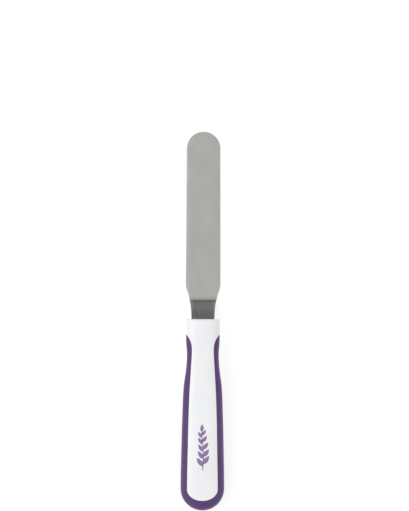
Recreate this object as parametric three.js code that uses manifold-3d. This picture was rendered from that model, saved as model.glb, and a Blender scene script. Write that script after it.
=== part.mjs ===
// Offset spatula: a flexible steel blade stepped down from a two-shell handle with a soft side grip.
// Millimetres. +Y points at the blade tip, +Z is up and the underside of the blade lies on z = 0.

import * as THREE from "three";
import { mergeVertices } from "three/addons/utils/BufferGeometryUtils.js";
import Module from "manifold-3d";

// Whole object
const OVERALL_LENGTH = 228.6;
const HANDLE_LENGTH = 115.5;
const TIP_Y = OVERALL_LENGTH / 2;
const MOUTH_Y = HANDLE_LENGTH - OVERALL_LENGTH / 2;
const GAP = 0.3; // clearance between neighbouring pieces

// Steel strip: blade, stepped neck and tang
const STEEL = 0.9;
const TIP_RADIUS = 10.15;
const HEEL = { halfWidth: 10.5, ahead: 21, pull: 2.6 }; // ahead of the mouth, with the curve's pull
const SHOULDER = { halfWidth: 8.75, ahead: 14, pull: 2.1, slope: 0.25 };
const NECK = { halfWidth: 7.1, ahead: 4, pull: 4, slope: 0.06 };
const MOUTH_HALF_WIDTH = 6.95;
const TANG_HALF_WIDTH = 5.5;
const TANG_LENGTH = 74;
const TANG_TAPER = 8;
const RAMP_FOOT_ANGLE = THREE.MathUtils.degToRad(46); // the ramp eases off from foot to head
const RAMP_HEAD_ANGLE = THREE.MathUtils.degToRad(36);
const LOWER_BEND_RADIUS = 9;
const UPPER_BEND_RADIUS = 2.5;
const UPPER_BEND_END = 2.6; // behind the mouth, so the bend is tucked into the slot
const TANG_HOLE_RADIUS = 2.5;
const TANG_HOLES = [26, 62]; // distances behind the handle mouth

// Handle body: half widths and half heights at distances behind the mouth
const BUTT_RADIUS = 13.15;
const BUTT_HALF_HEIGHT = 8.2;
const BUTT_FULLNESS = 0.8;
const BODY_LENGTH = HANDLE_LENGTH - BUTT_RADIUS;
const BODY_HALF_WIDTHS = [[0, 10.15], [8, 10.2], [14, 10.05], [21, 9.57], [30, 10.05], [41, 11.5],
  [60, 12.3], [80, 12.8], [BODY_LENGTH, BUTT_RADIUS]];
const BODY_HALF_HEIGHTS = [[0, 6.2], [8, 6.2], [21, 5.85], [34, 6.4], [52, 7.4], [76, 8], [BODY_LENGTH,
  BUTT_HALF_HEIGHT]];
const SECTION_POWER = 2.4; // exponent of the superellipse sections
const AXIS_SLOPE = 0.045; // the handle sinks toward the butt by this much per millimetre
const FRONT_EDGE = { depth: 1.8, heightLoss: 1.8, widthLoss: 0.7 };
const FINE = { ringPoints: 40, bodySteps: 22, roundSteps: 7 };
const COARSE = { ringPoints: 24, bodySteps: 12, roundSteps: 4 }; // for the hidden hollow

// White panels, as seen from above; outside them the soft grip covers the shells
const PANEL_HALF_WIDTHS = [[19, 6.63], [30, 7.2], [45, 8.05], [62, 8.6], [80, 8.95], [BODY_LENGTH, 9.3]];
const PANEL_FLARE = { from: 5, to: 19, gain: 4.27, reach: 10.5, power: 2.6 };
const PANEL_END_LENGTH = 6.95; // the end is half an ellipse, centred where the round butt starts
const PANEL_STEPS = 9;
const GRIP_DEPTH = 1.8;
const GRIP_FRONT = 9.8;
const GRIP_BED_START = 5;

// Hollow of the shells
const HOLLOW_START = 14;
const PANEL_WALL = 2.4;
const SIDE_WALL = 4.1;
const RIBS = [37, 49, 80, 93];
const RIB_THICKNESS = 1.4;
const BOSS_RADIUS = 4;
const PIN_RADIUS = TANG_HOLE_RADIUS - GAP;
const PIN_REACH = 3.2;

// Making
const FAR = 40; // reach of the cutting blocks, beyond the handle's sides
const BEND_STEPS = 8;
const COLUMN_SIDES = 32;
const MERGE_DISTANCE = 1e-5;

const wasm = await Module();
wasm.setup();

function solid(geometry) {
  const bare = geometry.clone();
  bare.deleteAttribute("normal");
  bare.deleteAttribute("uv");
  const merged = mergeVertices(bare, MERGE_DISTANCE);
  return new wasm.Manifold(new wasm.Mesh({
    numProp: 3,
    vertProperties: new Float32Array(merged.attributes.position.array),
    triVerts: new Uint32Array(merged.index.array),
  }));
}

function surface(body) {
  const mesh = body.getMesh();
  const geometry = new THREE.BufferGeometry();
  geometry.setAttribute("position", new THREE.BufferAttribute(new Float32Array(mesh.vertProperties), 3));
  geometry.setIndex(new THREE.BufferAttribute(new Uint32Array(mesh.triVerts), 1));
  return geometry;
}

// Smooth curve through [position, value] pairs, level at both ends.
function curveThrough(points, position) {
  const last = points.length - 1;
  const at = THREE.MathUtils.clamp(position, points[0][0], points[last][0]);
  const next = Math.max(1, points.findIndex((point) => point[0] >= at));
  const slopeAt = (i) => {
    if (i === 0 || i === last) return 0;
    return (points[i + 1][1] - points[i - 1][1]) / (points[i + 1][0] - points[i - 1][0]);
  };
  const [x0, v0] = points[next - 1];
  const [x1, v1] = points[next];
  const span = x1 - x0;
  const t = (at - x0) / span;
  const ease = t * t * (3 - 2 * t);
  const startPull = t * (1 - t) * (1 - t) * span * slopeAt(next - 1);
  const endPull = t * t * (t - 1) * span * slopeAt(next);
  return v0 + (v1 - v0) * ease + startPull + endPull;
}

// Cross sections of the handle, shrunk by inset, from start behind the mouth to the end of the butt.
function handleSections(inset, start, detail) {
  const sections = [];
  const add = (behind, halfWidth, halfHeight) => {
    sections.push({ y: MOUTH_Y - behind, halfWidth: halfWidth - inset, halfHeight: halfHeight - inset });
  };
  for (let i = 0; i <= detail.bodySteps; i += 1) {
    const behind = start + (BODY_LENGTH - start) * (i / detail.bodySteps);
    add(behind, curveThrough(BODY_HALF_WIDTHS, behind), curveThrough(BODY_HALF_HEIGHTS, behind));
  }
  for (let i = 1; i <= detail.roundSteps; i += 1) {
    const angle = (Math.PI / 2) * (i / detail.roundSteps);
    const width = (BUTT_RADIUS - inset) * Math.cos(angle);
    const height = (BUTT_HALF_HEIGHT - inset) * Math.cos(angle) ** BUTT_FULLNESS;
    add(BODY_LENGTH + (BUTT_RADIUS - inset) * Math.sin(angle), width + inset, height + inset);
  }
  return sections;
}

// Rounds the edge of the mouth by adding smaller sections in front of the first full one.
function outerSections() {
  const body = handleSections(0, FRONT_EDGE.depth, FINE);
  const edge = [];
  for (let i = 0; i < FINE.roundSteps; i += 1) {
    const angle = (Math.PI / 2) * (1 - i / FINE.roundSteps);
    const loss = 1 - Math.cos(angle);
    edge.push({
      y: MOUTH_Y - FRONT_EDGE.depth * (1 - Math.sin(angle)),
      halfWidth: body[0].halfWidth - FRONT_EDGE.widthLoss * loss,
      halfHeight: body[0].halfHeight - FRONT_EDGE.heightLoss * loss,
    });
  }
  return [...edge, ...body];
}

function ringPoint(section, angle) {
  const round = (value) => Math.sign(value) * Math.abs(value) ** (2 / SECTION_POWER);
  return [section.halfWidth * round(Math.cos(angle)), section.y, section.halfHeight * round(Math.sin(angle))];
}

// Closed body through superellipse sections; the last one shrinks to a point.
function loft(sections, detail) {
  const count = detail.ringPoints;
  const rings = sections.slice(0, -1);
  const angles = Array.from({ length: count }, (_, index) => 2 * Math.PI * (index / count));
  const positions = rings.flatMap((section) => angles.flatMap((angle) => ringPoint(section, angle)));
  const frontCentre = rings.length * count;
  const apex = frontCentre + 1;
  positions.push(0, sections[0].y, 0, 0, sections.at(-1).y, 0);
  const lastRing = (rings.length - 1) * count;
  const triangles = [];
  for (let i = 0; i < count; i += 1) {
    const next = (i + 1) % count;
    for (let ring = 0; ring < lastRing; ring += count) {
      const below = ring + count;
      triangles.push(ring + i, ring + next, below + i, ring + next, below + next, below + i);
    }
    triangles.push(frontCentre, next, i, apex, lastRing + i, lastRing + next);
  }
  const geometry = new THREE.BufferGeometry();
  geometry.setAttribute("position", new THREE.Float32BufferAttribute(positions, 3));
  geometry.setIndex(triangles);
  return solid(geometry);
}

// Outline from above: the right-hand side, apart from its points on the middle line, is mirrored.
function planPrism(rightSide, low, high) {
  const sidePoints = rightSide.filter((point) => point.x > GAP);
  const left = sidePoints.map((point) => new THREE.Vector2(-point.x, point.y)).reverse();
  const shape = new THREE.Shape([...rightSide, ...left]);
  const geometry = new THREE.ExtrudeGeometry(shape, { depth: high - low, bevelEnabled: false });
  return solid(geometry.translate(0, 0, low));
}

function box(width, length, height, y, z) {
  return solid(new THREE.BoxGeometry(width, length, height).translate(0, y, z));
}

function column(radius, behind, low, high) {
  const geometry = new THREE.CylinderGeometry(radius, radius, high - low, COLUMN_SIDES);
  geometry.rotateX(Math.PI / 2);
  return solid(geometry.translate(0, MOUTH_Y - behind, (low + high) / 2));
}

function panelHalfWidth(behind) {
  const flareShare = Math.max(0, (PANEL_FLARE.to - behind) / PANEL_FLARE.reach);
  return curveThrough(PANEL_HALF_WIDTHS, behind) + PANEL_FLARE.gain * flareShare ** PANEL_FLARE.power;
}

// Everything above and below the white panels, narrowed by margin.
function panelPrism(margin) {
  const right = [new THREE.Vector2(panelHalfWidth(PANEL_FLARE.from), MOUTH_Y + FAR)];
  const add = (halfWidth, behind) => right.push(new THREE.Vector2(halfWidth, MOUTH_Y - behind));
  const end = PANEL_HALF_WIDTHS.at(-1);
  for (let i = 0; i < PANEL_STEPS; i += 1) {
    const behind = THREE.MathUtils.lerp(PANEL_FLARE.from, PANEL_FLARE.to, i / PANEL_STEPS);
    add(panelHalfWidth(behind) - margin, behind);
  }
  for (let i = 0; i < PANEL_STEPS; i += 1) {
    const behind = THREE.MathUtils.lerp(PANEL_FLARE.to, end[0], i / PANEL_STEPS);
    add(panelHalfWidth(behind) - margin, behind);
  }
  for (let i = 0; i < PANEL_STEPS; i += 1) {
    const angle = (Math.PI / 2) * (i / PANEL_STEPS);
    add((end[1] - margin) * Math.cos(angle), end[0] + (PANEL_END_LENGTH - margin) * Math.sin(angle));
  }
  return planPrism(right, -FAR, FAR);
}

// Right-hand edge of the steel from tip to tang end, widened by extra.
function steelEdge(extra) {
  const ahead = (distance) => MOUTH_Y + distance;
  const heel = HEEL.halfWidth + extra;
  const shoulder = SHOULDER.halfWidth + extra;
  const neck = NECK.halfWidth + extra;
  const mouth = MOUTH_HALF_WIDTH + extra;
  const tang = TANG_HALF_WIDTH + extra;
  const shoulderLean = SHOULDER.slope * SHOULDER.pull;
  const neckLean = NECK.slope * NECK.pull;
  const edge = new THREE.Path();
  edge.moveTo(0, TIP_Y + extra);
  edge.absarc(0, TIP_Y - TIP_RADIUS, TIP_RADIUS + extra, Math.PI / 2, 0, true);
  edge.lineTo(heel, ahead(HEEL.ahead));
  edge.bezierCurveTo(heel, ahead(HEEL.ahead - HEEL.pull),
    shoulder + shoulderLean, ahead(SHOULDER.ahead + SHOULDER.pull), shoulder, ahead(SHOULDER.ahead));
  edge.bezierCurveTo(shoulder - shoulderLean, ahead(SHOULDER.ahead - SHOULDER.pull),
    neck + neckLean, ahead(NECK.ahead + NECK.pull), neck, ahead(NECK.ahead));
  edge.lineTo(mouth, ahead(0));
  edge.bezierCurveTo(mouth, ahead(-TANG_TAPER / 2), tang, ahead(-TANG_TAPER / 2), tang, ahead(-TANG_TAPER));
  edge.absarc(0, ahead(TANG_HALF_WIDTH - TANG_LENGTH), tang, 0, -Math.PI / 2, true);
  return edge.getPoints(BEND_STEPS);
}

const OUTER_SECTIONS = outerSections();
const MOUTH_AXIS_HEIGHT = Math.max(...OUTER_SECTIONS.map(
  (section) => section.halfHeight + AXIS_SLOPE * (MOUTH_Y - section.y)));

function axisHeight(y) {
  return MOUTH_AXIS_HEIGHT - AXIS_SLOPE * (MOUTH_Y - y);
}

// Middle of the strip seen from the side, with the direction it heads in, from tip to tang end.
// The neck is three arcs: a bend out of the blade, a ramp that eases off and a bend into the handle.
function steelPath() {
  const droop = Math.atan(AXIS_SLOPE);
  const bendEndY = MOUTH_Y - UPPER_BEND_END;
  const lowerRise = LOWER_BEND_RADIUS * (1 - Math.cos(RAMP_FOOT_ANGLE));
  const upperRise = UPPER_BEND_RADIUS * (Math.cos(droop) - Math.cos(RAMP_HEAD_ANGLE));
  const rampRise = axisHeight(bendEndY) - STEEL / 2 - lowerRise - upperRise;
  const rampRadius = rampRise / (Math.cos(RAMP_HEAD_ANGLE) - Math.cos(RAMP_FOOT_ANGLE));
  const arcs = [
    { radius: LOWER_BEND_RADIUS, from: 0, to: RAMP_FOOT_ANGLE },
    { radius: rampRadius, from: RAMP_FOOT_ANGLE, to: RAMP_HEAD_ANGLE },
    { radius: UPPER_BEND_RADIUS, from: RAMP_HEAD_ANGLE, to: -droop },
  ];
  const run = ({ radius, from, to }) => radius * Math.abs(Math.sin(to) - Math.sin(from));
  const neckRun = arcs.reduce((total, arc) => total + run(arc), 0);
  let start = { y: bendEndY + neckRun, z: STEEL / 2, heading: 0 };
  const path = [{ y: TIP_Y + STEEL, z: STEEL / 2, heading: 0 }, start];
  for (const { radius, from, to } of arcs) {
    for (let i = 1; i <= BEND_STEPS; i += 1) {
      const heading = THREE.MathUtils.lerp(from, to, i / BEND_STEPS);
      const y = start.y - run({ radius, from, to: heading });
      path.push({ y, z: start.z + radius * Math.abs(Math.cos(heading) - Math.cos(from)), heading });
    }
    start = path.at(-1);
  }
  const endY = MOUTH_Y - TANG_LENGTH - STEEL;
  path.push({ y: endY, z: axisHeight(endY), heading: -droop });
  return path;
}

// Bent strip, grown by extra on all sides and without its holes.
function steelStrip(extra) {
  const side = (lift) => steelPath().map(({ y, z, heading }) => (
    new THREE.Vector2(y + lift * Math.sin(heading), z + lift * Math.cos(heading))));
  const offset = STEEL / 2 + extra;
  const profile = new THREE.Shape([...side(offset), ...side(-offset).reverse()]);
  const geometry = new THREE.ExtrudeGeometry(profile, { depth: 2 * FAR, bevelEnabled: false });
  const turned = new THREE.Matrix4().makeBasis(
    new THREE.Vector3(0, 1, 0), new THREE.Vector3(0, 0, 1), new THREE.Vector3(1, 0, 0));
  const bent = solid(geometry.applyMatrix4(turned).translate(-FAR, 0, 0));
  return bent.intersect(planPrism(steelEdge(extra), -FAR, FAR));
}

function blade() {
  return TANG_HOLES.reduce((body, behind) => (
    body.subtract(column(TANG_HOLE_RADIUS, behind, -FAR, FAR))), steelStrip(0));
}

// Handle pieces are built around a level axis; sense +1 moves them to the sloping one and -1 back.
function followAxis(body, sense) {
  return body.warp((point) => {
    point[2] += sense * axisHeight(point[1]);
  });
}

const OUTER = loft(OUTER_SECTIONS, FINE);

function gripBand() {
  const bed = loft(handleSections(GRIP_DEPTH, GRIP_BED_START, FINE), FINE);
  const nose = box(2 * FAR, FAR, 2 * FAR, MOUTH_Y - GRIP_FRONT + FAR / 2, 0);
  return OUTER.subtract(bed).subtract(panelPrism(0)).subtract(nose);
}

function shellHollow() {
  const panelSide = loft(handleSections(PANEL_WALL, HOLLOW_START, COARSE), COARSE);
  const gripSide = loft(handleSections(SIDE_WALL, HOLLOW_START, COARSE), COARSE);
  let hollow = panelSide.intersect(panelPrism(PANEL_WALL + GAP)).add(gripSide);
  for (const behind of RIBS) {
    hollow = hollow.subtract(box(2 * FAR, RIB_THICKNESS, 2 * FAR, MOUTH_Y - behind, 0));
  }
  for (const behind of TANG_HOLES) {
    hollow = hollow.subtract(column(BOSS_RADIUS, behind, -FAR, FAR));
  }
  return hollow;
}

// Both shells in one: recessed for the grip, hollow inside and slotted for the tang.
function shellPair() {
  const bed = loft(handleSections(GRIP_DEPTH + GAP, GRIP_BED_START, FINE), FINE);
  const slot = followAxis(steelStrip(GAP), -1);
  return OUTER.intersect(panelPrism(GAP).add(bed)).subtract(shellHollow()).subtract(slot);
}

// side is +1 for the upper shell and -1 for the lower one.
function halfOf(pair, side) {
  return pair.intersect(box(2 * FAR, 2 * OVERALL_LENGTH, FAR, 0, side * (FAR + GAP) / 2));
}

function topShell(pair) {
  return TANG_HOLES.reduce((shell, behind) => (
    shell.add(column(PIN_RADIUS, behind, -PIN_REACH, BOSS_RADIUS))), halfOf(pair, 1));
}

function bottomShell(pair) {
  return TANG_HOLES.reduce((shell, behind) => (
    shell.subtract(column(TANG_HOLE_RADIUS, behind, -PIN_REACH - GAP, FAR))), halfOf(pair, -1));
}

const steel = new THREE.MeshStandardMaterial({ color: 0xb4b6b5, metalness: 1, roughness: 0.35 });
const whitePlastic = new THREE.MeshStandardMaterial({ color: 0xf1f1f2, roughness: 0.3 });
const purpleRubber = new THREE.MeshStandardMaterial({ color: 0x5a3d7c, roughness: 0.6 });

const group = new THREE.Group();

function place(name, body, material) {
  const mesh = new THREE.Mesh(surface(body), material.clone());
  mesh.name = name;
  group.add(mesh);
}

const shells = shellPair();
place("blade", blade(), steel);
place("handle_top_shell", followAxis(topShell(shells), 1), whitePlastic);
place("handle_bottom_shell", followAxis(bottomShell(shells), 1), whitePlastic);
place("grip_band", followAxis(gripBand(), 1), purpleRubber);

export default group;
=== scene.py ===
"""Offset spatula: a satin steel blade, a white two-shell handle, a purple soft grip and a printed sprig.

Shapes are worked out in millimetres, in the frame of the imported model: +Y is towards the blade tip, +Z is
up, and "behind" is the distance behind the handle's mouth. Meshes are made in metres.
"""
import math

import bmesh
import bpy
import numpy as np
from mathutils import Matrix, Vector


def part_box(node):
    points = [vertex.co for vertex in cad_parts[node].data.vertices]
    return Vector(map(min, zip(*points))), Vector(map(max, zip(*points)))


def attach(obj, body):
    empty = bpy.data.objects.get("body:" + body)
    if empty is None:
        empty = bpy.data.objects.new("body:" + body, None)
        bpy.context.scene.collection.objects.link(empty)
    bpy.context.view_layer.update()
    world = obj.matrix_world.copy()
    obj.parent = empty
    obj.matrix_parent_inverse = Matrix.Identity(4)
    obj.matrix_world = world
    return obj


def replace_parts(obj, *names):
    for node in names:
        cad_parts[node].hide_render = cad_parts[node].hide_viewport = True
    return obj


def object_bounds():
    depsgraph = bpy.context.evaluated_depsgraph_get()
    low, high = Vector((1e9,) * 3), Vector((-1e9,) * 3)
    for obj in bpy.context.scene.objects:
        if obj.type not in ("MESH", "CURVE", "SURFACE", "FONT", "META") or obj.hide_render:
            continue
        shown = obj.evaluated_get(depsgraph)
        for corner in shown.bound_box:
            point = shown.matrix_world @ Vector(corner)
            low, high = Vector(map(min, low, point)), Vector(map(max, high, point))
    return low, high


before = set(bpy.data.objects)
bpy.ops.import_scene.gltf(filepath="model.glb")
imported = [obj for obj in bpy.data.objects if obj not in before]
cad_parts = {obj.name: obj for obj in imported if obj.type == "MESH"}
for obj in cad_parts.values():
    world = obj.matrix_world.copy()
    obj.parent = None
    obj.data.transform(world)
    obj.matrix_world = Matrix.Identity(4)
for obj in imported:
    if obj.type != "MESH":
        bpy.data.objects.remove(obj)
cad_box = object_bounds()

MM = 0.001


def box_mm(node):
    low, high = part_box(node)
    return low / MM, high / MM


STEEL_LOW, STEEL_HIGH = box_mm("blade")
GRIP_LOW, GRIP_HIGH = box_mm("grip_band")

# Handle body
MOUTH_Y = box_mm("handle_top_shell")[1].y
BUTT_RADIUS = GRIP_HIGH.x
BUTT_HALF_HEIGHT = 8.2
BUTT_FULLNESS = 0.8
BODY_LENGTH = MOUTH_Y - GRIP_LOW.y - BUTT_RADIUS
BODY_HALF_WIDTHS = [(0, 10.15), (8, 10.2), (14, 10.05), (21, 9.57), (30, 10.05), (41, 11.5), (60, 12.3),
                    (80, 12.8), (BODY_LENGTH, BUTT_RADIUS)]
BODY_HALF_HEIGHTS = [(0, 6.2), (8, 6.2), (21, 5.85), (34, 6.4), (52, 7.4), (76, 8),
                     (BODY_LENGTH, BUTT_HALF_HEIGHT)]
SECTION_POWER = 2.4
AXIS_SLOPE = 0.045
FRONT_DEPTH = 1.8        # length of the rounded edge at the mouth
FRONT_HEIGHT_LOSS = 1.8
FRONT_WIDTH_LOSS = 0.7
FRONT_LEAN = 0.8         # share of that length lost at the sides, so the edge leans back in the middle
LEAN_FADE = 5            # distance behind the mouth where the lean has gone

# White panel and soft grip
PANEL_HALF_WIDTHS = [(19, 6.63), (30, 7.2), (45, 8.05), (62, 8.6), (80, 8.95), (BODY_LENGTH, 9.3)]
FLARE_TO, FLARE_GAIN, FLARE_REACH, FLARE_POWER = 19, 4.27, 10.5, 2.6
PANEL_END_LENGTH = 6.95
GRIP_DEPTH = 1.8
GRIP_NOSE = 9.35         # where the grip starts as a point on each side
GROOVE = 0.05            # half of the fine gap between white and purple
PANEL_ROUND = 0.25
GRIP_ROUND = 0.45
ROUND_SHARE = 0.45       # at the grip's narrow nose the rounding takes this share of its width
SEAM = 0.04              # half of the joint between the two shells
SIDE_WALL = 4.1
HOLLOW_START = 14

# Rows of the handle's meshes, by distance behind the mouth, and steps along and across them
STEP = 0.02              # between the two rows of a sudden step
FRONT_ROWS = FRONT_DEPTH * np.array([0, 0.02, 0.08, 0.2, 0.4, 0.65, 1])
COLLAR_ROWS = np.array([3, 4.2, 5.5, 7, 8.2])
NOSE_ROWS = GRIP_NOSE + np.array([0.7, 1.2, 1.8, 2.4, 3.0, 3.6, 4.2])
WAIST_ROWS = GRIP_NOSE + np.array([5.5, 6.3, 7.2, 8.2, 9.4])
SHELL_ROWS = np.concatenate([FRONT_ROWS, COLLAR_ROWS, [GRIP_NOSE - STEP, GRIP_NOSE, GRIP_NOSE + 0.3],
                             NOSE_ROWS, [HOLLOW_START - STEP, HOLLOW_START], WAIST_ROWS])
GRIP_ROWS = np.concatenate([GRIP_NOSE + np.array([0, 0.08, 0.2, 0.4]), NOSE_ROWS, [GRIP_NOSE + 4.8],
                            WAIST_ROWS])
SIDE_STEPS, BUTT_STEPS = 44, 48
PANEL_STEPS, BED_STEPS, GRIP_STEPS = 18, 6, 22
PANEL_CORNER = np.radians([20, 45, 70, 90])
GRIP_CORNER = np.radians([0, 25, 50, 75])
HOLLOW_SHARES = [1, 0.9, 0.7, 0.45, 0.2, 0]

# Steel strip
STEEL = 0.9
STEEL_ROUND = 0.2
TIP_RADIUS = 10.15
HEEL_HALF_WIDTH = STEEL_HIGH.x
NECK_CURVE = [(21, HEEL_HALF_WIDTH), (18.4, HEEL_HALF_WIDTH), (16.1, 9.28), (14, 8.75), (11.9, 8.22),
              (8, 7.34), (4, 7.1)]  # two cubic stretches: ahead of the mouth, half width
MOUTH_HALF_WIDTH = 6.95
TANG_HALF_WIDTH = 5.5
TANG_TAPER = 8
RAMP_FOOT_ANGLE, RAMP_HEAD_ANGLE = math.radians(46), math.radians(36)
LOWER_BEND_RADIUS = 9
UPPER_BEND_RADIUS = 2.5
UPPER_BEND_END = 2.6     # behind the mouth
SLOT_PLAY = 0.12
STEEL_CORNER = np.radians([30, 60, 90])
STEEL_SHARES = (0, 0.35, 0.7, 1)       # rows from the middle of the strip to its edge
CURVE_STEPS, TAPER_STEPS, TIP_STEPS = 16, 12, 48
BLADE_ROWS, TANG_ROWS = 24, 16

# Printed sprig
SPRIG_ROOT, SPRIG_TIP = 90.5, 66.0     # behind the mouth
STEM_BOW, STEM_TURN = 0.55, 1.5 * math.pi
STEM_HALF_WIDTH, STEM_NARROWING = 0.34, 0.14
LEAF_STARTS = (0.1, 0.28, 0.46, 0.64, 0.8)
LEAF_STAGGER = 0.05                    # by which the right leaf of a pair starts later
LEAF_LENGTH, LEAF_SHORTENING = 5.6, 0.5
LEAF_HALF_WIDTH, LEAF_NARROWING = 1.3, 0.1
LEAF_LEAN = math.radians(40)
LEAF_DROOP = 0.5
LEAF_FULLNESS = 0.85
LEAF_EDGE = 0.04                       # half width left at a leaf's two ends
LEAF_FOOT = 0.04                       # share of its length at which a leaf starts
TIP_LEAF_START, TIP_LEAF_LENGTH, TIP_LEAF_LEAN, TIP_LEAF_HALF_WIDTH = 0.94, 4.4, 0.4, 1.0
STEM_STEPS, LEAF_STEPS = 30, 18
INK_LOW, INK_HIGH = 0.012, 0.05        # height above the plastic
INK_SHARES = (-1, -0.5, 0, 0.5, 1)     # rows across a patch, in half widths

SHARP_ANGLE = math.radians(38)         # edges that turn less are shaded smooth
WELD = 1e-6


# ---------------------------------------------------------------- shape of the handle

def curve_through(points, at):
    """Smooth curve through (position, value) pairs, level at both ends."""
    position = np.array([p for p, _ in points], float)
    value = np.array([v for _, v in points], float)
    slope = np.zeros(len(points))
    slope[1:-1] = (value[2:] - value[:-2]) / (position[2:] - position[:-2])
    at = np.clip(at, position[0], position[-1])
    after = np.clip(np.searchsorted(position, at), 1, len(points) - 1)
    before = after - 1
    span = position[after] - position[before]
    t = (at - position[before]) / span
    ease = t * t * (3 - 2 * t)
    start_pull = t * (1 - t) ** 2 * span * slope[before]
    end_pull = t * t * (t - 1) * span * slope[after]
    return value[before] + (value[after] - value[before]) * ease + start_pull + end_pull


def front_loss(behind):
    """Share of the mouth's edge that is rounded away at this distance, from 1 to 0."""
    rest = np.clip(1 - behind / FRONT_DEPTH, 0, 1)
    return 1 - np.sqrt(1 - rest ** 2)


def half_width(behind):
    return curve_through(BODY_HALF_WIDTHS, behind) - FRONT_WIDTH_LOSS * front_loss(behind)


def half_height(behind):
    return curve_through(BODY_HALF_HEIGHTS, behind) - FRONT_HEIGHT_LOSS * front_loss(behind)


def skin_height(x, behind, inset=0.0):
    """Height of the handle's skin above its axis, or of the same skin shrunk by inset."""
    past = np.clip((behind - BODY_LENGTH) / (BUTT_RADIUS - inset), 0, 1)
    shrink = np.sqrt(1 - past ** 2)
    width = np.maximum((half_width(behind) - inset) * shrink, WELD)
    height = (half_height(behind) - inset) * shrink ** BUTT_FULLNESS
    share = np.clip(np.abs(x) / width, 0, 1)
    return height * (1 - share ** SECTION_POWER) ** (1 / SECTION_POWER)


def panel_half_width(behind):
    flare = np.clip((FLARE_TO - behind) / FLARE_REACH, 0, None)
    return curve_through(PANEL_HALF_WIDTHS, behind) + FLARE_GAIN * flare ** FLARE_POWER


def butt_depth(samples=400):
    """Height of the axis at the mouth that lets the handle's lowest line touch the surface below."""
    behind = np.linspace(0, BODY_LENGTH + BUTT_RADIUS, samples)
    return float(np.max(skin_height(0.0, behind) + AXIS_SLOPE * behind))


MOUTH_AXIS_HEIGHT = butt_depth()


def axis_height(y):
    return MOUTH_AXIS_HEIGHT - AXIS_SLOPE * (MOUTH_Y - y)


# ---------------------------------------------------------------- path of the steel

def steel_path(steps=14):
    """Rows of y, height and heading along the strip's middle, from the neck's foot to the handle."""
    droop = math.atan(AXIS_SLOPE)
    end_y = MOUTH_Y - UPPER_BEND_END
    lower_rise = LOWER_BEND_RADIUS * (1 - math.cos(RAMP_FOOT_ANGLE))
    upper_rise = UPPER_BEND_RADIUS * (math.cos(droop) - math.cos(RAMP_HEAD_ANGLE))
    ramp_rise = axis_height(end_y) - STEEL / 2 - lower_rise - upper_rise
    ramp_radius = ramp_rise / (math.cos(RAMP_HEAD_ANGLE) - math.cos(RAMP_FOOT_ANGLE))
    arcs = [(LOWER_BEND_RADIUS, 0, RAMP_FOOT_ANGLE), (ramp_radius, RAMP_FOOT_ANGLE, RAMP_HEAD_ANGLE),
            (UPPER_BEND_RADIUS, RAMP_HEAD_ANGLE, -droop)]
    y = end_y + sum(radius * abs(math.sin(end) - math.sin(start)) for radius, start, end in arcs)
    path = [np.array([[y, STEEL / 2, 0]])]
    for radius, start, end in arcs:
        heading = np.linspace(start, end, steps + 1)[1:]
        y, z, _ = path[-1][-1]
        path.append(np.stack([y - radius * np.abs(np.sin(heading) - math.sin(start)),
                              z + radius * np.abs(np.cos(heading) - math.cos(start)), heading], axis=-1))
    return np.vstack(path)


STEEL_PATH = steel_path()


def steel_centre(y):
    """Height and heading of the strip's middle at each y, from the flat blade to the tang."""
    rising = STEEL_PATH[::-1]
    z = np.interp(y, rising[:, 0], rising[:, 1])
    heading = np.interp(y, rising[:, 0], rising[:, 2])
    return np.where(y < rising[0, 0], axis_height(y), z), heading


def slot_height(y, side):
    """Clear height of the steel's slot above the axis in the upper shell (side 1), or below it."""
    z, heading = steel_centre(y)
    return np.maximum(side * (z - axis_height(y)) + STEEL / 2 / np.cos(heading) + SLOT_PLAY, SEAM)


# ---------------------------------------------------------------- mesh making

def mesh_piece(name, points, material, ring=False, loop=False):
    """A closed body from rows of points (level, station, xyz) in millimetres.

    ring joins the last level to the first, and loop joins the last station to the first. Rows that
    collapse to a line are welded, and open ends are filled.
    """
    levels, count, _ = points.shape
    bm = bmesh.new()
    verts = [[bm.verts.new(Vector(p) * MM) for p in row] for row in points]
    for i in range(levels if ring else levels - 1):
        for j in range(count if loop else count - 1):
            above, below = verts[i], verts[(i + 1) % levels]
            side = (j + 1) % count
            bm.faces.new((above[j], above[side], below[side], below[j]))
    bmesh.ops.remove_doubles(bm, verts=bm.verts, dist=WELD)
    bmesh.ops.dissolve_degenerate(bm, edges=bm.edges, dist=WELD / 10)
    rims = [edge for edge in bm.edges if edge.is_boundary]
    caps = bmesh.ops.holes_fill(bm, edges=rims, sides=0)["faces"] if rims else []
    bmesh.ops.triangulate(bm, faces=caps)
    return finish_mesh(name, bm, material)


def finish_mesh(name, bm, material):
    """Turns a working mesh into an object, smooth except at its sharp edges."""
    bmesh.ops.recalc_face_normals(bm, faces=bm.faces)
    for face in bm.faces:
        face.smooth = True
    for edge in bm.edges:
        edge.smooth = edge.calc_face_angle(0) < SHARP_ANGLE
    mesh = bpy.data.meshes.new(name)
    bm.to_mesh(mesh)
    bm.free()
    piece = bpy.data.objects.new(name, mesh)
    bpy.context.scene.collection.objects.link(piece)
    mesh.materials.append(material)
    return piece


def placed(x, behind, z):
    """Points of the handle, with the front edge's lean and the axis's slope put in."""
    lean = np.minimum(behind, FRONT_DEPTH * np.clip((LEAN_FADE - behind) / (LEAN_FADE - FRONT_DEPTH), 0, 1))
    share = np.clip(x / half_width(behind), -1, 1)
    y = MOUTH_Y - behind + FRONT_LEAN * share ** 2 * lean
    return np.stack([x, y, z + axis_height(y)], axis=-1)


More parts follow.
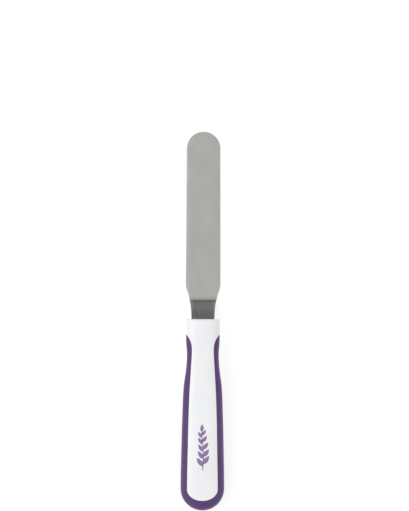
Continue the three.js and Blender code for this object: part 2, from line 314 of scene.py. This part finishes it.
def stations(front):
    """Stations down the right side, round the butt and up the left side, as distance and angle."""
    sides = np.concatenate([front, np.linspace(front[-1], BODY_LENGTH, SIDE_STEPS + 1)[1:]])
    turn = np.linspace(0, math.pi, BUTT_STEPS + 1)[1:-1]
    behind = np.concatenate([sides, np.full(len(turn), BODY_LENGTH), sides[::-1]])
    angle = np.concatenate([np.zeros(len(sides)), turn, np.full(len(sides), math.pi)])
    return behind, angle


def outline(at, half, end_length):
    """Horseshoe outline with the given half widths along its sides."""
    behind, angle = at
    return half * np.cos(angle), behind + end_length * np.sin(angle)


def between(inner, outer, share):
    return tuple(a + (b - a) * share for a, b in zip(inner, outer))


def quarter(steps):
    """Shares from 0 to 1 that crowd towards 1, where the skin turns steep."""
    return np.sin(np.linspace(0, math.pi / 2, steps + 1))[1:]


def rim(at, inset):
    """Outline of the handle itself, drawn in by inset."""
    return outline(at, half_width(at[0]) - inset, BUTT_RADIUS - inset)


# ---------------------------------------------------------------- handle pieces

def shell(name, side, material):
    """One half of the white handle; side is 1 for the upper one and -1 for the lower one."""
    at = stations(SHELL_ROWS)
    behind = at[0]
    covered = behind >= GRIP_NOSE
    bed_inset = GRIP_DEPTH + 2 * GROOVE

    def edge(margin):
        half = np.where(covered, np.minimum(panel_half_width(behind), half_width(behind)) - margin,
                        half_width(behind))
        return outline(at, half, PANEL_END_LENGTH - margin)

    levels = []

    def add(plan, z):
        levels.append(placed(plan[0], plan[1], side * z))

    spine = outline(at, 0 * behind, 0)
    add(spine, skin_height(*spine))
    for share in quarter(PANEL_STEPS):
        plan = between(spine, edge(GROOVE + PANEL_ROUND), share)
        add(plan, np.maximum(skin_height(*plan), SEAM))
    for turn in PANEL_CORNER:
        plan = edge(GROOVE + PANEL_ROUND * (1 - math.sin(turn)))
        add(plan, np.maximum(skin_height(*plan) - PANEL_ROUND * (1 - math.cos(turn)), SEAM))
    for share in np.concatenate([[0], quarter(BED_STEPS)]):
        plan = between(edge(GROOVE), rim(at, bed_inset), share)
        add(plan, np.maximum(skin_height(*plan, bed_inset), SEAM))
    slotted = behind < HOLLOW_START
    slot_half_width = np.where(slotted, MOUTH_HALF_WIDTH, TANG_HALF_WIDTH) + SLOT_PLAY
    slot_roof = slot_height(MOUTH_Y - behind, side)
    hollow_half = np.where(slotted, slot_half_width, np.maximum(half_width(behind) - SIDE_WALL,
                                                                slot_half_width))
    hollow = outline(at, hollow_half, BUTT_RADIUS - SIDE_WALL)
    add(hollow, SEAM + 0 * behind)
    for share in HOLLOW_SHARES:
        plan = between(spine, hollow, share)
        add(plan, np.where(slotted, slot_roof, np.maximum(skin_height(*plan, SIDE_WALL), slot_roof)))
    return mesh_piece(name, np.array(levels), material)


def grip_band(material):
    """Soft grip: a horseshoe-shaped skin round the sides and the butt."""
    at = stations(GRIP_ROWS)
    behind = at[0]
    edge_half = panel_half_width(behind) + GROOVE
    rounding = np.minimum(GRIP_ROUND, ROUND_SHARE * (half_width(behind) - edge_half))

    def edge(margin):
        return outline(at, edge_half + margin, PANEL_END_LENGTH + GROOVE + margin)

    outer = []
    for turn in GRIP_CORNER:
        plan = edge(rounding * (1 - math.cos(turn)))
        outer.append((plan, np.maximum(skin_height(*plan) - rounding * (1 - math.sin(turn)), 0)))
    for share in np.concatenate([[0], quarter(GRIP_STEPS)]):
        plan = between(edge(rounding), rim(at, 0), share)
        outer.append((plan, skin_height(*plan)))
    bed_half = np.maximum(half_width(behind) - GRIP_DEPTH, edge_half)
    bed = outline(at, bed_half, BUTT_RADIUS - GRIP_DEPTH)
    inner = []
    for share in np.concatenate([[0], quarter(BED_STEPS)]):
        plan = between(edge(0), bed, share)
        inner.append((plan, skin_height(*plan, GRIP_DEPTH)))
    ring = outer + [(plan, -z) for plan, z in reversed(outer[:-1])]
    ring += [(plan, -z) for plan, z in inner]
    ring += [(plan, z) for plan, z in reversed(inner[:-1])]
    points = np.array([placed(plan[0], plan[1], z) for plan, z in ring])
    return mesh_piece("soft_grip", points, material, ring=True)


# ---------------------------------------------------------------- steel piece

def cubic(points, steps):
    """Points of one cubic stretch through four control points."""
    t = np.linspace(0, 1, steps + 1)[:, None]
    a, b, c, d = (np.array(p, float) for p in points)
    return (1 - t) ** 3 * a + 3 * t * (1 - t) ** 2 * b + 3 * t * t * (1 - t) * c + t ** 3 * d


def steel_half_widths():
    """(y, half width) down one side, from the centre of the tip to the centre of the tang's end."""
    taper = [(0, MOUTH_HALF_WIDTH), (-TANG_TAPER / 2, MOUTH_HALF_WIDTH), (-TANG_TAPER / 2, TANG_HALF_WIDTH),
             (-TANG_TAPER, TANG_HALF_WIDTH)]
    stretches = np.vstack([cubic(NECK_CURVE[0:4], CURVE_STEPS), cubic(NECK_CURVE[3:7], CURVE_STEPS)[1:],
                           cubic(taper, TAPER_STEPS)])
    side = [(MOUTH_Y + ahead, half) for ahead, half in stretches]
    tip_y = STEEL_HIGH.y - TIP_RADIUS
    return np.array([(tip_y, TIP_RADIUS), *side, (STEEL_LOW.y + TANG_HALF_WIDTH, TANG_HALF_WIDTH)])


def steel_blade(material):
    """The whole strip as one closed skin, with softly rounded edges."""
    widths = steel_half_widths()
    long_runs = np.concatenate([np.linspace(widths[0, 0], MOUTH_Y + NECK_CURVE[0][0], BLADE_ROWS),
                                np.linspace(MOUTH_Y - TANG_TAPER, widths[-1, 0], TANG_ROWS)])
    side_y = np.unique(np.round(np.concatenate([widths[:, 0], STEEL_PATH[:, 0], long_runs]), 3))[::-1]
    side_half = np.interp(side_y, widths[::-1, 0], widths[::-1, 1])
    turn = np.linspace(0, math.pi, TIP_STEPS + 1)[1:-1]
    base = np.concatenate([side_y[::-1], np.full(len(turn), side_y[0]),
                           side_y, np.full(len(turn), side_y[-1])])
    half = np.concatenate([side_half[::-1], np.full(len(turn), TIP_RADIUS), side_half,
                           np.full(len(turn), TANG_HALF_WIDTH)])
    angle = np.concatenate([0 * side_y, turn, math.pi + 0 * side_y, math.pi + turn])
    levels = []

    def add(margin, share, offset):
        x = (half - margin) * share * np.cos(angle)
        y = base + (half - margin) * share * np.sin(angle) * (np.abs(np.sin(angle)) > WELD)
        z, heading = steel_centre(y)
        levels.append(np.stack([x, y + offset * np.sin(heading), z + offset * np.cos(heading)], axis=-1))

    flat = STEEL / 2
    top = [(STEEL_ROUND, share, flat) for share in STEEL_SHARES]
    for corner in STEEL_CORNER:
        top.append((STEEL_ROUND * (1 - math.sin(corner)), 1, flat - STEEL_ROUND * (1 - math.cos(corner))))
    for margin, share, offset in top + [(m, s, -o) for m, s, o in reversed(top)]:
        add(margin, share, offset)
    return mesh_piece("steel_blade", np.array(levels), material, loop=True)


# ---------------------------------------------------------------- printed sprig

def printed_patch(name, middle, half, material):
    """A thin closed film draped on the top panel, with half its width beside each middle point."""
    ahead = np.gradient(middle, axis=0)
    ahead /= np.linalg.norm(ahead, axis=1)[:, None]
    beside = np.stack([ahead[:, 1], -ahead[:, 0]], axis=1)
    face = [(share, INK_HIGH) for share in INK_SHARES]
    back = [(share, INK_LOW) for share in reversed(INK_SHARES)]
    rows = []
    for share, lift in face + back:
        plan = middle + beside * (half * share)[:, None]
        rows.append(placed(plan[:, 0], plan[:, 1], skin_height(plan[:, 0], plan[:, 1]) + lift))
    return mesh_piece(name, np.array(rows), material, ring=True)


def sprig_stem(share):
    """Middle of the gently bowed stem, share running from root to tip."""
    return np.stack([STEM_BOW * np.sin(share * STEM_TURN),
                     SPRIG_ROOT + (SPRIG_TIP - SPRIG_ROOT) * share], axis=-1)


def leaf_half_width(reach, widest):
    """Half width of a leaf where reach runs from its foot, 0, to its tip, 1."""
    return LEAF_EDGE + widest * np.sin(math.pi * reach ** LEAF_FULLNESS) ** LEAF_FULLNESS


def printed_leaf(pair, side, material):
    """One leaf of a pair, on the left (side -1) or the right (side 1) of the stem."""
    root = sprig_stem(np.array(LEAF_STARTS[pair] + LEAF_STAGGER * (side > 0)))
    length = LEAF_LENGTH - LEAF_SHORTENING * pair
    reach = np.linspace(LEAF_FOOT, 1, LEAF_STEPS)
    middle = root + np.stack([side * math.sin(LEAF_LEAN) * length * reach,
                              -math.cos(LEAF_LEAN) * length * reach - LEAF_DROOP * reach ** 2], axis=-1)
    half = leaf_half_width(reach, LEAF_HALF_WIDTH - LEAF_NARROWING * pair)
    return printed_patch(f"printed_leaf_{pair}_{side}", middle, half, material)


def printed_tip_leaf(material):
    reach = np.linspace(0, 1, LEAF_STEPS)
    middle = sprig_stem(np.array(TIP_LEAF_START)) + np.stack([TIP_LEAF_LEAN * reach,
                                                              -TIP_LEAF_LENGTH * reach], axis=-1)
    return printed_patch("printed_leaf_tip", middle, leaf_half_width(reach, TIP_LEAF_HALF_WIDTH), material)


def printed_sprig(material):
    """A stem with pairs of leaves and a leaf at its tip."""
    along = np.linspace(0, 1, STEM_STEPS)
    stem_half = STEM_HALF_WIDTH - STEM_NARROWING * along
    patches = [printed_patch("printed_stem", sprig_stem(along), stem_half, material)]
    for pair in range(len(LEAF_STARTS)):
        for side in (-1, 1):
            patches.append(printed_leaf(pair, side, material))
    patches.append(printed_tip_leaf(material))
    return patches


# ---------------------------------------------------------------- materials

# Colours of each material's darker and lighter patches
STEEL_TINTS = (0.39, 0.395, 0.375), (0.435, 0.44, 0.42)
WHITE_TINTS = (0.77, 0.775, 0.79), (0.80, 0.805, 0.82)
PURPLE_TINTS = (0.062, 0.022, 0.125), (0.077, 0.029, 0.147)
INK_TINTS = (0.205, 0.13, 0.295), (0.265, 0.18, 0.36)
FLOOR_TINTS = (0.42, 0.42, 0.42), (0.44, 0.44, 0.44)
FLOOR_GLOW = 0.64
NOISE_LOW, NOISE_HIGH = 0.3, 0.7       # most values of a noise lie between these


def new_material(name, **inputs):
    material = bpy.data.materials.new(name)
    material.use_nodes = True
    shader = material.node_tree.nodes["Principled BSDF"]
    for label, value in inputs.items():
        shader.inputs[label.replace("_", " ")].default_value = value
    return material, material.node_tree, shader


def noise(tree, scale, detail, stretch=(1, 1, 1)):
    """Noise in object space, in features per metre, stretched along the axes."""
    place = tree.nodes.new("ShaderNodeTexCoord")
    mapping = tree.nodes.new("ShaderNodeMapping")
    mapping.inputs["Scale"].default_value = stretch
    texture = tree.nodes.new("ShaderNodeTexNoise")
    texture.inputs["Scale"].default_value = scale
    texture.inputs["Detail"].default_value = detail
    tree.links.new(place.outputs["Object"], mapping.inputs["Vector"])
    tree.links.new(mapping.outputs["Vector"], texture.inputs["Vector"])
    return texture.outputs["Fac"]


def spread(tree, factor, low, high):
    """Maps a noise's values onto a range from low to high."""
    ranged = tree.nodes.new("ShaderNodeMapRange")
    ranged.inputs["From Min"].default_value = NOISE_LOW
    ranged.inputs["From Max"].default_value = NOISE_HIGH
    ranged.inputs["To Min"].default_value = low
    ranged.inputs["To Max"].default_value = high
    tree.links.new(factor, ranged.inputs["Value"])
    return ranged.outputs["Result"]


def tint(tree, factor, dark, light):
    """Mixes a dark and a light colour by a factor."""
    ramp = tree.nodes.new("ShaderNodeMix")
    ramp.data_type = "RGBA"
    ramp.inputs["A"].default_value = (*dark, 1)
    ramp.inputs["B"].default_value = (*light, 1)
    tree.links.new(factor, ramp.inputs["Factor"])
    return ramp.outputs["Result"]


def bump(tree, height, distance, strength):
    node = tree.nodes.new("ShaderNodeBump")
    node.inputs["Distance"].default_value = distance
    node.inputs["Strength"].default_value = strength
    tree.links.new(height, node.inputs["Height"])
    return node.outputs["Normal"]


def satin_steel():
    """Stainless strip with a fine lengthwise polish and faint cloudy wear."""
    material, tree, shader = new_material("satin_steel", Metallic=1.0)
    grain = noise(tree, scale=1, detail=3, stretch=(5200, 70, 70))
    clouds = noise(tree, scale=90, detail=4, stretch=(1, 0.5, 1))
    tree.links.new(tint(tree, spread(tree, clouds, 0, 1), *STEEL_TINTS), shader.inputs["Base Color"])
    tree.links.new(spread(tree, grain, 0.24, 0.36), shader.inputs["Roughness"])
    tree.links.new(bump(tree, grain, distance=6e-6, strength=0.5), shader.inputs["Normal"])
    return material


def white_plastic():
    """Semi-gloss moulded plastic with a trace of moulding texture."""
    material, tree, shader = new_material("white_plastic", Metallic=0.0, IOR=1.46)
    clouds = noise(tree, scale=60, detail=3)
    fine = noise(tree, scale=1800, detail=3)
    tree.links.new(tint(tree, spread(tree, clouds, 0, 1), *WHITE_TINTS), shader.inputs["Base Color"])
    tree.links.new(spread(tree, clouds, 0.3, 0.4), shader.inputs["Roughness"])
    tree.links.new(bump(tree, fine, distance=1e-5, strength=0.25), shader.inputs["Normal"])
    return material


def purple_rubber():
    """Soft-touch overmould: satin, with a fine even grain."""
    material, tree, shader = new_material("purple_rubber", Metallic=0.0, IOR=1.5)
    clouds = noise(tree, scale=45, detail=4)
    fine = noise(tree, scale=2600, detail=2)
    tree.links.new(tint(tree, spread(tree, clouds, 0, 1), *PURPLE_TINTS), shader.inputs["Base Color"])
    tree.links.new(spread(tree, fine, 0.42, 0.56), shader.inputs["Roughness"])
    tree.links.new(bump(tree, fine, distance=2e-5, strength=0.35), shader.inputs["Normal"])
    return material


def print_ink():
    """Thin lilac pad print that lets a little of the plastic through."""
    material, tree, shader = new_material("print_ink", Metallic=0.0)
    coverage = noise(tree, scale=1500, detail=3)
    tree.links.new(tint(tree, spread(tree, coverage, 0, 1), *INK_TINTS), shader.inputs["Base Color"])
    tree.links.new(spread(tree, coverage, 0.4, 0.55), shader.inputs["Roughness"])
    return material


def floor_paint():
    """Matt white paint that glows a little, as an evenly lit studio floor does."""
    material, tree, shader = new_material("pale_floor", Metallic=0.0)
    clouds = noise(tree, scale=4, detail=2)
    tree.links.new(tint(tree, spread(tree, clouds, 0, 1), *FLOOR_TINTS), shader.inputs["Base Color"])
    shader.inputs["Roughness"].default_value = 0.9
    shader.inputs["Emission Color"].default_value = (1, 1, 1, 1)
    shader.inputs["Emission Strength"].default_value = FLOOR_GLOW
    return material


# ---------------------------------------------------------------- camera, floor and light

FRAME_HEIGHT = 0.3096              # metres of the floor that the picture's long side covers
FRAME_CENTRE = (0.0008, 0.0394)    # the picture's middle, from the object's middle
CAMERA_LENS, CAMERA_SENSOR = 200, 36
CAMERA_ROLL = math.radians(0.2)
CAMERA_REACH = 20
FLOOR_REACH = 12
FLOOR_GAP = 0.0002                 # by which the floor lies under the object

# Brightness of the studio: a soft sky, a bank of light on each side and a dark patch ahead of the blade.
# The pairs are parts of a direction's length (sideways, ahead or above) between which a light fades in.
HORIZON_LIGHT, OVERHEAD_LIGHT = 0.45, 0.97
SKY_ABOVE = (0, 0.9)
LEFT_BANK, RIGHT_BANK = 0.65, 0.32
BANK_SIDEWAYS, BANK_ABOVE = (0.35, 0.75), (0.12, 0.4)
DARK_AHEAD, DARK_ABOVE, DARK_END = (0.84, 0.97), (-0.05, 0.3), 0
KEY_PLACE, KEY_SIZE, KEY_POWER = (-0.9, 0.1, 1.0), 0.8, 3.1


def make_camera():
    data = bpy.data.cameras.new("camera")
    data.lens = CAMERA_LENS
    data.sensor_width = CAMERA_SENSOR
    data.clip_end = CAMERA_REACH
    camera = bpy.data.objects.new("camera", data)
    low, high = cad_box
    middle = (low + high) / 2
    distance = FRAME_HEIGHT * CAMERA_LENS / CAMERA_SENSOR
    camera.location = (middle.x + FRAME_CENTRE[0], middle.y + FRAME_CENTRE[1], distance)
    camera.rotation_euler = (0, 0, CAMERA_ROLL)
    bpy.context.scene.collection.objects.link(camera)
    bpy.context.scene.camera = camera


def make_floor():
    bm = bmesh.new()
    bmesh.ops.create_grid(bm, x_segments=1, y_segments=1, size=FLOOR_REACH)
    floor = finish_mesh("floor", bm, floor_paint())
    floor.location.z = cad_box[0].z - FLOOR_GAP


def key_light():
    """A soft round lamp on the left, aimed at the object's middle."""
    data = bpy.data.lights.new("key_left", "AREA")
    data.shape = "DISK"
    data.size = KEY_SIZE
    data.energy = KEY_POWER
    light = bpy.data.objects.new("key_left", data)
    light.location = KEY_PLACE
    light.rotation_euler = (-Vector(KEY_PLACE)).to_track_quat("-Z", "Y").to_euler()
    bpy.context.scene.collection.objects.link(light)


def fade(tree, value, start, end, low, high):
    """Smooth step of a value from low to high between start and end."""
    ranged = tree.nodes.new("ShaderNodeMapRange")
    ranged.interpolation_type = "SMOOTHSTEP"
    for label, number in [("From Min", start), ("From Max", end), ("To Min", low), ("To Max", high)]:
        ranged.inputs[label].default_value = number
    tree.links.new(value, ranged.inputs["Value"])
    return ranged.outputs["Result"]


def combine(tree, operation, first, second):
    node = tree.nodes.new("ShaderNodeMath")
    node.operation = operation
    tree.links.new(first, node.inputs[0])
    tree.links.new(second, node.inputs[1])
    return node.outputs["Value"]


def studio_world():
    """Light from all round whose strength depends only on its direction."""
    world = bpy.data.worlds.new("studio")
    world.use_nodes = True
    tree = world.node_tree
    direction = tree.nodes.new("ShaderNodeTexCoord")
    split = tree.nodes.new("ShaderNodeSeparateXYZ")
    tree.links.new(direction.outputs["Generated"], split.inputs["Vector"])
    across, ahead, above = (split.outputs[axis] for axis in "XYZ")
    dark = combine(tree, "MULTIPLY", fade(tree, ahead, *DARK_AHEAD, 0, 1),
                   fade(tree, above, *DARK_ABOVE, 0, 1))
    sky = combine(tree, "MULTIPLY", fade(tree, above, *SKY_ABOVE, HORIZON_LIGHT, OVERHEAD_LIGHT),
                  fade(tree, dark, 0, 1, 1, DARK_END))
    near, full = BANK_SIDEWAYS
    banks = combine(tree, "ADD", fade(tree, across, -near, -full, 0, LEFT_BANK),
                    fade(tree, across, near, full, 0, RIGHT_BANK))
    banks = combine(tree, "MULTIPLY", banks, fade(tree, above, *BANK_ABOVE, 0, 1))
    background = tree.nodes["Background"]
    background.inputs["Color"].default_value = (1, 1, 1, 1)
    tree.links.new(combine(tree, "ADD", sky, banks), background.inputs["Strength"])
    return world


def make_light():
    bpy.context.scene.world = studio_world()
    bpy.context.scene.view_settings.view_transform = "Standard"
    key_light()


# ---------------------------------------------------------------- build

def build():
    make_camera()
    make_floor()
    make_light()
    white = white_plastic()
    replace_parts(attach(steel_blade(satin_steel()), "root"), "blade")
    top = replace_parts(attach(shell("upper_shell", 1, white), "root"), "handle_top_shell")
    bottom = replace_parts(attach(shell("lower_shell", -1, white), "root"), "handle_bottom_shell")
    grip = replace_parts(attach(grip_band(purple_rubber()), "root"), "grip_band")
    for patch in printed_sprig(print_ink()):
        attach(patch, "root")


build()
